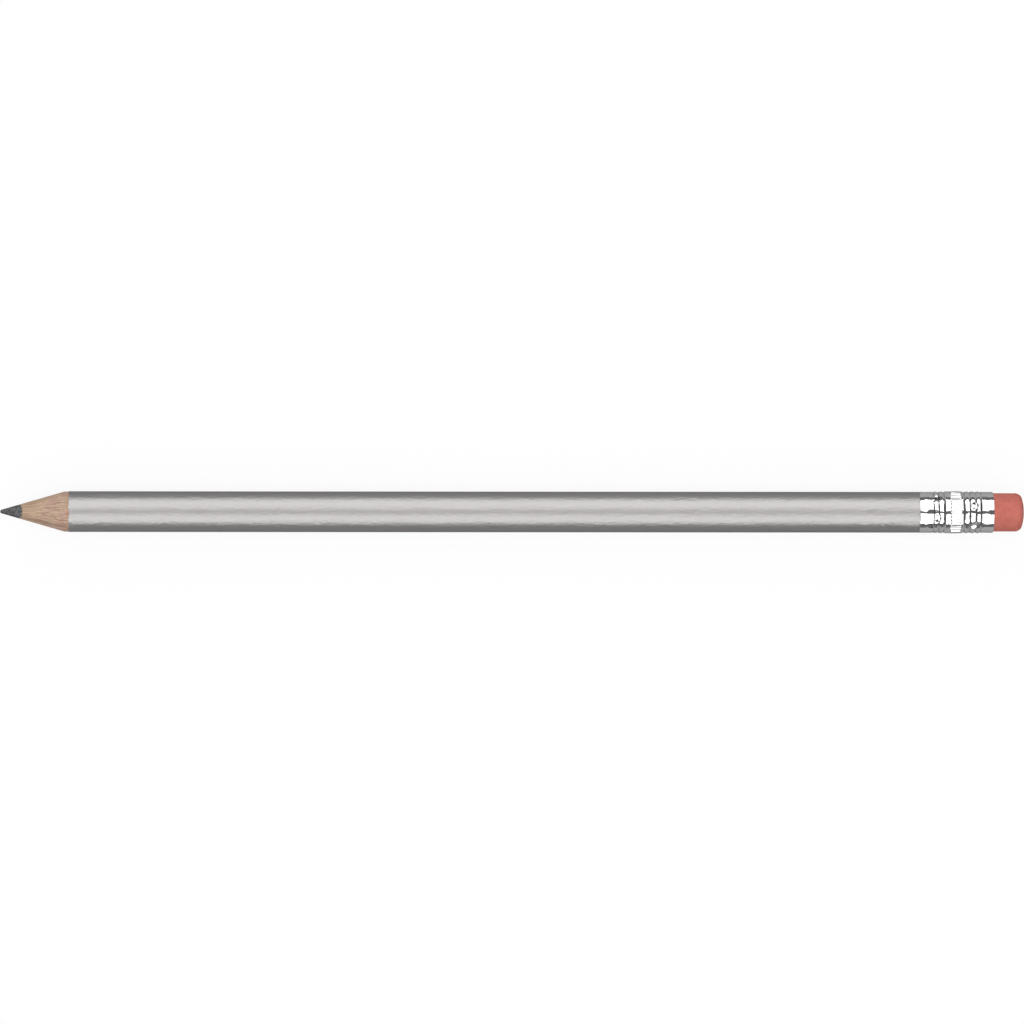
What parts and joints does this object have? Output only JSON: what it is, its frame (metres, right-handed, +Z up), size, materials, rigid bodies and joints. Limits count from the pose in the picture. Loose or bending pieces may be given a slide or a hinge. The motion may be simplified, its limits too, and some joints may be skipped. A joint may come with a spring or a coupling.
{
  "type": "wooden pencil",
  "caption": "Round silver-lacquered wooden pencil with a sharpened graphite point, a beaded and toothed metal ferrule and a coral plug eraser, for writing and rubbing out.",
  "frame": {"origin": "on the surface the pencil lies on, under the middle of its length", "axes": "+X along the pencil from its point to its eraser, +Z up, +Y square to the glue line between the two casing halves"},
  "size_m": [0.186, 0.0076, 0.0076],
  "materials": {
    "graphite": "baked graphite and clay, dull metallic sheen",
    "cedar": "raw cut cedar with fine grain",
    "glue": "dried wood glue",
    "lacquer": "silver lacquer, satin gloss",
    "ferrule_metal": "bright rolled aluminium",
    "eraser_rubber": "matte coral rubber"
  },
  "bodies": {
    "root": {"graphite_core": "graphite", "casing_half_left": "cedar", "casing_half_right": "cedar", "glue_film": "glue", "lacquer_coat": "lacquer", "ferrule": "ferrule_metal", "eraser_plug": "eraser_rubber"}
  },
  "joints": []
}
